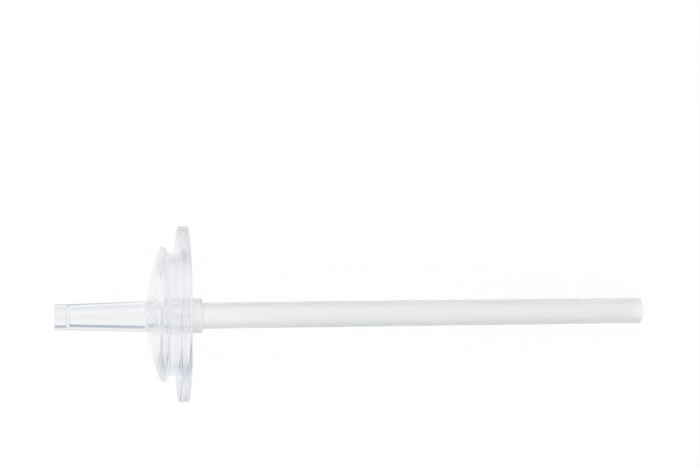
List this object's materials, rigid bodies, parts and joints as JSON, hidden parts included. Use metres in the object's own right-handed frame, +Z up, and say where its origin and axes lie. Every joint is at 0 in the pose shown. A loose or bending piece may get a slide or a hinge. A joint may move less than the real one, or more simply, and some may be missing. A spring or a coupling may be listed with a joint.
{
  "type": "drinking straw",
  "caption": "Spare straw for a lidded cup: a soft clear spout with dome, grooved neck and sealing flange, on a plain translucent tube.",
  "frame": {"origin": "middle of the straw's bounding box, on the table that it lies on", "axes": "+X from the spout towards the tube's far end, +Y across the straw, +Z up from the table"},
  "size_m": [0.1362, 0.04, 0.0398],
  "materials": {
    "clear_silicone": "clear soft silicone rubber, smooth and slightly glossy",
    "frosted_tube_plastic": "translucent milky plastic, satin, extruded"
  },
  "bodies": {
    "root": {"mouthpiece": "clear_silicone", "straw_tube": "frosted_tube_plastic"}
  },
  "joints": []
}
